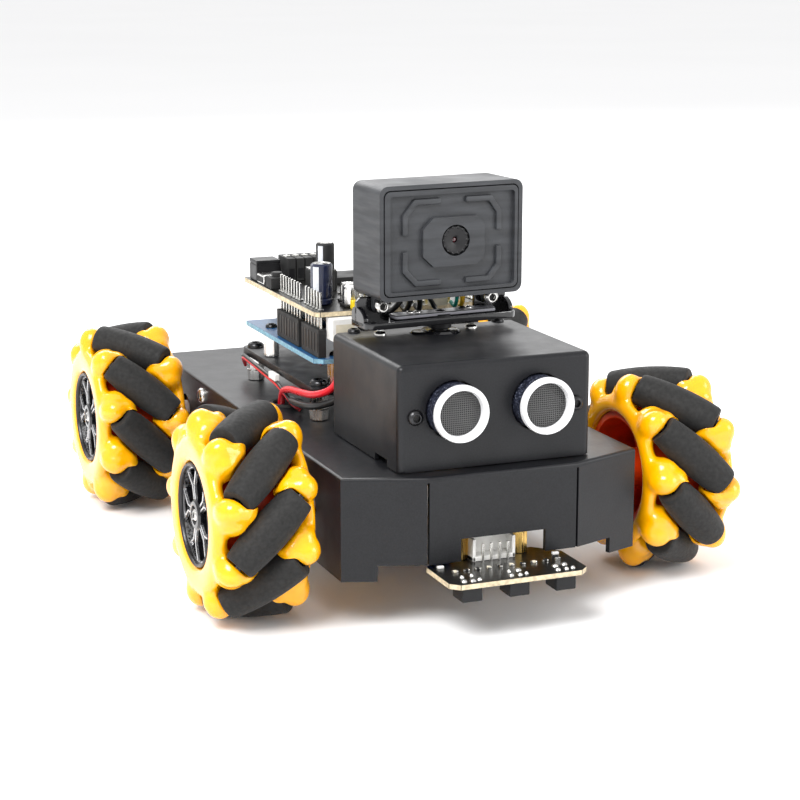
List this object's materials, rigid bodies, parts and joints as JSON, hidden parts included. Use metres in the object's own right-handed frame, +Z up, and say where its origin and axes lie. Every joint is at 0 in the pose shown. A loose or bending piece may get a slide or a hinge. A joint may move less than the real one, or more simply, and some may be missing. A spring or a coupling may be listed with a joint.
{
  "type": "mecanum wheel robot",
  "caption": "Small robot car on mecanum wheels with free rollers, a folded chassis, a sensor head with a panning camera and stacked circuit boards.",
  "frame": {"origin": "centre of the bounding box on the ground", "axes": "+Z up, the robot's front faces -Y, its left side is +X"},
  "size_m": [0.1606, 0.2046, 0.1178],
  "materials": {
    "powder_coat": "satin black powder coat",
    "wheel_yellow": "glossy moulded yellow",
    "roller_rubber": "matte black rubber",
    "camera_plastic": "matt printed dark grey with fine layer lines",
    "gloss_black": "glossy black",
    "dark_plastic": "moulded black",
    "plate_plastic": "dark satin plate",
    "blue_board": "blue circuit board",
    "black_board": "black circuit board with a tan edge",
    "motor_plastic": "yellow moulded gearbox",
    "battery_wrap": "blue shrink wrap",
    "red_wire": "red silicone insulation",
    "black_wire": "black silicone insulation"
  },
  "bodies": {
    "chassis": {"chassis_deck": "powder_coat", "head_box": "powder_coat", "ultrasonic_module": "black_board", "pan_servo": "dark_plastic", "mounting_plate": "plate_plastic", "controller_board": "blue_board", "expansion_board": "black_board", "line_sensor": "black_board", "battery_pack": "battery_wrap", "gear_motor_front_right": "motor_plastic", "gear_motor_rear_right": "motor_plastic", "gear_motor_front_left": "motor_plastic", "gear_motor_rear_left": "motor_plastic", "power_lead_red": "red_wire", "power_lead_black": "black_wire"},
    "camera_head": {"servo_horn": "dark_plastic", "camera_bracket": "gloss_black", "camera_housing": "camera_plastic", "camera_front": "camera_plastic", "camera_lens": "gloss_black"},
    "front_right_wheel": {"wheel_front_right": "wheel_yellow"},
    "front_right_roller_1": {"roller_front_right_1": "roller_rubber"},
    "front_right_roller_2": {"roller_front_right_2": "roller_rubber"},
    "front_right_roller_3": {"roller_front_right_3": "roller_rubber"},
    "front_right_roller_4": {"roller_front_right_4": "roller_rubber"},
    "front_right_roller_5": {"roller_front_right_5": "roller_rubber"},
    "front_right_roller_6": {"roller_front_right_6": "roller_rubber"},
    "front_right_roller_7": {"roller_front_right_7": "roller_rubber"},
    "front_right_roller_8": {"roller_front_right_8": "roller_rubber"},
    "front_right_roller_9": {"roller_front_right_9": "roller_rubber"},
    "rear_right_wheel": {"wheel_rear_right": "wheel_yellow"},
    "rear_right_roller_1": {"roller_rear_right_1": "roller_rubber"},
    "rear_right_roller_2": {"roller_rear_right_2": "roller_rubber"},
    "rear_right_roller_3": {"roller_rear_right_3": "roller_rubber"},
    "rear_right_roller_4": {"roller_rear_right_4": "roller_rubber"},
    "rear_right_roller_5": {"roller_rear_right_5": "roller_rubber"},
    "rear_right_roller_6": {"roller_rear_right_6": "roller_rubber"},
    "rear_right_roller_7": {"roller_rear_right_7": "roller_rubber"},
    "rear_right_roller_8": {"roller_rear_right_8": "roller_rubber"},
    "rear_right_roller_9": {"roller_rear_right_9": "roller_rubber"},
    "front_left_wheel": {"wheel_front_left": "wheel_yellow"},
    "front_left_roller_1": {"roller_front_left_1": "roller_rubber"},
    "front_left_roller_2": {"roller_front_left_2": "roller_rubber"},
    "front_left_roller_3": {"roller_front_left_3": "roller_rubber"},
    "front_left_roller_4": {"roller_front_left_4": "roller_rubber"},
    "front_left_roller_5": {"roller_front_left_5": "roller_rubber"},
    "front_left_roller_6": {"roller_front_left_6": "roller_rubber"},
    "front_left_roller_7": {"roller_front_left_7": "roller_rubber"},
    "front_left_roller_8": {"roller_front_left_8": "roller_rubber"},
    "front_left_roller_9": {"roller_front_left_9": "roller_rubber"},
    "rear_left_wheel": {"wheel_rear_left": "wheel_yellow"},
    "rear_left_roller_1": {"roller_rear_left_1": "roller_rubber"},
    "rear_left_roller_2": {"roller_rear_left_2": "roller_rubber"},
    "rear_left_roller_3": {"roller_rear_left_3": "roller_rubber"},
    "rear_left_roller_4": {"roller_rear_left_4": "roller_rubber"},
    "rear_left_roller_5": {"roller_rear_left_5": "roller_rubber"},
    "rear_left_roller_6": {"roller_rear_left_6": "roller_rubber"},
    "rear_left_roller_7": {"roller_rear_left_7": "roller_rubber"},
    "rear_left_roller_8": {"roller_rear_left_8": "roller_rubber"},
    "rear_left_roller_9": {"roller_rear_left_9": "roller_rubber"}
  },
  "joints": [
    {"name": "camera_pan", "type": "hinge", "parent": "chassis", "child": "camera_head", "pos_m": [0.0008, -0.0391, 0.075], "axis": [0, 0, 1], "range_deg": [-30, 25]},
    {"name": "front_right_wheel_spin", "type": "hinge", "parent": "chassis", "child": "front_right_wheel", "pos_m": [-0.0653, -0.0537, 0.03], "axis": [1, 0, 0], "continuous": true},
    {"name": "front_right_roller_1_spin", "type": "hinge", "parent": "front_right_wheel", "child": "front_right_roller_1", "pos_m": [-0.0653, -0.03053, 0.03798], "axis": [0.7071, 0.2302, -0.6686], "continuous": true},
    {"name": "front_right_roller_2_spin", "type": "hinge", "parent": "front_right_wheel", "child": "front_right_roller_2", "pos_m": [-0.0653, -0.04108, 0.051], "axis": [0.7071, 0.6061, -0.3642], "continuous": true},
    {"name": "front_right_roller_3_spin", "type": "hinge", "parent": "front_right_wheel", "child": "front_right_roller_3", "pos_m": [-0.0653, -0.05753, 0.0542], "axis": [0.7071, 0.6984, 0.1106], "continuous": true},
    {"name": "front_right_roller_4_spin", "type": "hinge", "parent": "front_right_wheel", "child": "front_right_roller_4", "pos_m": [-0.0653, -0.07219, 0.04607], "axis": [0.7071, 0.4639, 0.5337], "continuous": true},
    {"name": "front_right_roller_5_spin", "type": "hinge", "parent": "front_right_wheel", "child": "front_right_roller_5", "pos_m": [-0.0653, -0.0782, 0.03043], "axis": [0.7071, 0.0123, 0.707], "continuous": true},
    {"name": "front_right_roller_6_spin", "type": "hinge", "parent": "front_right_wheel", "child": "front_right_roller_6", "pos_m": [-0.0653, -0.07274, 0.01458], "axis": [0.7071, -0.445, 0.5495], "continuous": true},
    {"name": "front_right_roller_7_spin", "type": "hinge", "parent": "front_right_wheel", "child": "front_right_roller_7", "pos_m": [-0.0653, -0.05838, 0.00595], "axis": [0.7071, -0.6941, 0.1349], "continuous": true},
    {"name": "front_right_roller_8_spin", "type": "hinge", "parent": "front_right_wheel", "child": "front_right_roller_8", "pos_m": [-0.0653, -0.04182, 0.00857], "axis": [0.7071, -0.6184, -0.3428], "continuous": true},
    {"name": "front_right_roller_9_spin", "type": "hinge", "parent": "front_right_wheel", "child": "front_right_roller_9", "pos_m": [-0.0653, -0.03083, 0.02122], "axis": [0.7071, -0.2534, -0.6601], "continuous": true},
    {"name": "rear_right_wheel_spin", "type": "hinge", "parent": "chassis", "child": "rear_right_wheel", "pos_m": [-0.0653, 0.0723, 0.03], "axis": [1, 0, 0], "continuous": true},
    {"name": "rear_right_roller_1_spin", "type": "hinge", "parent": "rear_right_wheel", "child": "rear_right_roller_1", "pos_m": [-0.0653, 0.09373, 0.04188], "axis": [0.7071, -0.3428, 0.6184], "continuous": true},
    {"name": "rear_right_roller_2_spin", "type": "hinge", "parent": "rear_right_wheel", "child": "rear_right_roller_2", "pos_m": [-0.0653, 0.08108, 0.05287], "axis": [0.7071, -0.6601, 0.2534], "continuous": true},
    {"name": "rear_right_roller_3_spin", "type": "hinge", "parent": "rear_right_wheel", "child": "rear_right_roller_3", "pos_m": [-0.0653, 0.06432, 0.05316], "axis": [0.7071, -0.6686, -0.2302], "continuous": true},
    {"name": "rear_right_roller_4_spin", "type": "hinge", "parent": "rear_right_wheel", "child": "rear_right_roller_4", "pos_m": [-0.0653, 0.0513, 0.04262], "axis": [0.7071, -0.3642, -0.6061], "continuous": true},
    {"name": "rear_right_roller_5_spin", "type": "hinge", "parent": "rear_right_wheel", "child": "rear_right_roller_5", "pos_m": [-0.0653, 0.0481, 0.02617], "axis": [0.7071, 0.1106, -0.6984], "continuous": true},
    {"name": "rear_right_roller_6_spin", "type": "hinge", "parent": "rear_right_wheel", "child": "rear_right_roller_6", "pos_m": [-0.0653, 0.05623, 0.01151], "axis": [0.7071, 0.5337, -0.4639], "continuous": true},
    {"name": "rear_right_roller_7_spin", "type": "hinge", "parent": "rear_right_wheel", "child": "rear_right_roller_7", "pos_m": [-0.0653, 0.07187, 0.0055], "axis": [0.7071, 0.707, -0.0123], "continuous": true},
    {"name": "rear_right_roller_8_spin", "type": "hinge", "parent": "rear_right_wheel", "child": "rear_right_roller_8", "pos_m": [-0.0653, 0.08772, 0.01096], "axis": [0.7071, 0.5495, 0.445], "continuous": true},
    {"name": "rear_right_roller_9_spin", "type": "hinge", "parent": "rear_right_wheel", "child": "rear_right_roller_9", "pos_m": [-0.0653, 0.09635, 0.02533], "axis": [0.7071, 0.1349, 0.6941], "continuous": true},
    {"name": "front_left_wheel_spin", "type": "hinge", "parent": "chassis", "child": "front_left_wheel", "pos_m": [0.0653, -0.0537, 0.03], "axis": [1, 0, 0], "continuous": true},
    {"name": "front_left_roller_1_spin", "type": "hinge", "parent": "front_left_wheel", "child": "front_left_roller_1", "pos_m": [0.0653, -0.0292, 0.03], "axis": [0.7071, 0, 0.7071], "continuous": true},
    {"name": "front_left_roller_2_spin", "type": "hinge", "parent": "front_left_wheel", "child": "front_left_roller_2", "pos_m": [0.0653, -0.03493, 0.04575], "axis": [0.7071, -0.4545, 0.5417], "continuous": true},
    {"name": "front_left_roller_3_spin", "type": "hinge", "parent": "front_left_wheel", "child": "front_left_roller_3", "pos_m": [0.0653, -0.04945, 0.05413], "axis": [0.7071, -0.6964, 0.1228], "continuous": true},
    {"name": "front_left_roller_4_spin", "type": "hinge", "parent": "front_left_wheel", "child": "front_left_roller_4", "pos_m": [0.0653, -0.06595, 0.05122], "axis": [0.7071, -0.6124, -0.3536], "continuous": true},
    {"name": "front_left_roller_5_spin", "type": "hinge", "parent": "front_left_wheel", "child": "front_left_roller_5", "pos_m": [0.0653, -0.07672, 0.03838], "axis": [0.7071, -0.2418, -0.6645], "continuous": true},
    {"name": "front_left_roller_6_spin", "type": "hinge", "parent": "front_left_wheel", "child": "front_left_roller_6", "pos_m": [0.0653, -0.07672, 0.02162], "axis": [0.7071, 0.2418, -0.6645], "continuous": true},
    {"name": "front_left_roller_7_spin", "type": "hinge", "parent": "front_left_wheel", "child": "front_left_roller_7", "pos_m": [0.0653, -0.06595, 0.00878], "axis": [0.7071, 0.6124, -0.3536], "continuous": true},
    {"name": "front_left_roller_8_spin", "type": "hinge", "parent": "front_left_wheel", "child": "front_left_roller_8", "pos_m": [0.0653, -0.04945, 0.00587], "axis": [0.7071, 0.6964, 0.1228], "continuous": true},
    {"name": "front_left_roller_9_spin", "type": "hinge", "parent": "front_left_wheel", "child": "front_left_roller_9", "pos_m": [0.0653, -0.03493, 0.01425], "axis": [0.7071, 0.4545, 0.5417], "continuous": true},
    {"name": "rear_left_wheel_spin", "type": "hinge", "parent": "chassis", "child": "rear_left_wheel", "pos_m": [0.0653, 0.0723, 0.03], "axis": [1, 0, 0], "continuous": true},
    {"name": "rear_left_roller_1_spin", "type": "hinge", "parent": "rear_left_wheel", "child": "rear_left_roller_1", "pos_m": [0.0653, 0.09643, 0.03425], "axis": [0.7071, 0.1228, -0.6964], "continuous": true},
    {"name": "rear_left_roller_2_spin", "type": "hinge", "parent": "rear_left_wheel", "child": "rear_left_roller_2", "pos_m": [0.0653, 0.08805, 0.04877], "axis": [0.7071, 0.5417, -0.4545], "continuous": true},
    {"name": "rear_left_roller_3_spin", "type": "hinge", "parent": "rear_left_wheel", "child": "rear_left_roller_3", "pos_m": [0.0653, 0.0723, 0.0545], "axis": [0.7071, 0.7071, 0], "continuous": true},
    {"name": "rear_left_roller_4_spin", "type": "hinge", "parent": "rear_left_wheel", "child": "rear_left_roller_4", "pos_m": [0.0653, 0.05655, 0.04877], "axis": [0.7071, 0.5417, 0.4545], "continuous": true},
    {"name": "rear_left_roller_5_spin", "type": "hinge", "parent": "rear_left_wheel", "child": "rear_left_roller_5", "pos_m": [0.0653, 0.04817, 0.03425], "axis": [0.7071, 0.1228, 0.6964], "continuous": true},
    {"name": "rear_left_roller_6_spin", "type": "hinge", "parent": "rear_left_wheel", "child": "rear_left_roller_6", "pos_m": [0.0653, 0.05108, 0.01775], "axis": [0.7071, -0.3536, 0.6124], "continuous": true},
    {"name": "rear_left_roller_7_spin", "type": "hinge", "parent": "rear_left_wheel", "child": "rear_left_roller_7", "pos_m": [0.0653, 0.06392, 0.00698], "axis": [0.7071, -0.6645, 0.2418], "continuous": true},
    {"name": "rear_left_roller_8_spin", "type": "hinge", "parent": "rear_left_wheel", "child": "rear_left_roller_8", "pos_m": [0.0653, 0.08068, 0.00698], "axis": [0.7071, -0.6645, -0.2418], "continuous": true},
    {"name": "rear_left_roller_9_spin", "type": "hinge", "parent": "rear_left_wheel", "child": "rear_left_roller_9", "pos_m": [0.0653, 0.09352, 0.01775], "axis": [0.7071, -0.3536, -0.6124], "continuous": true}
  ]
}
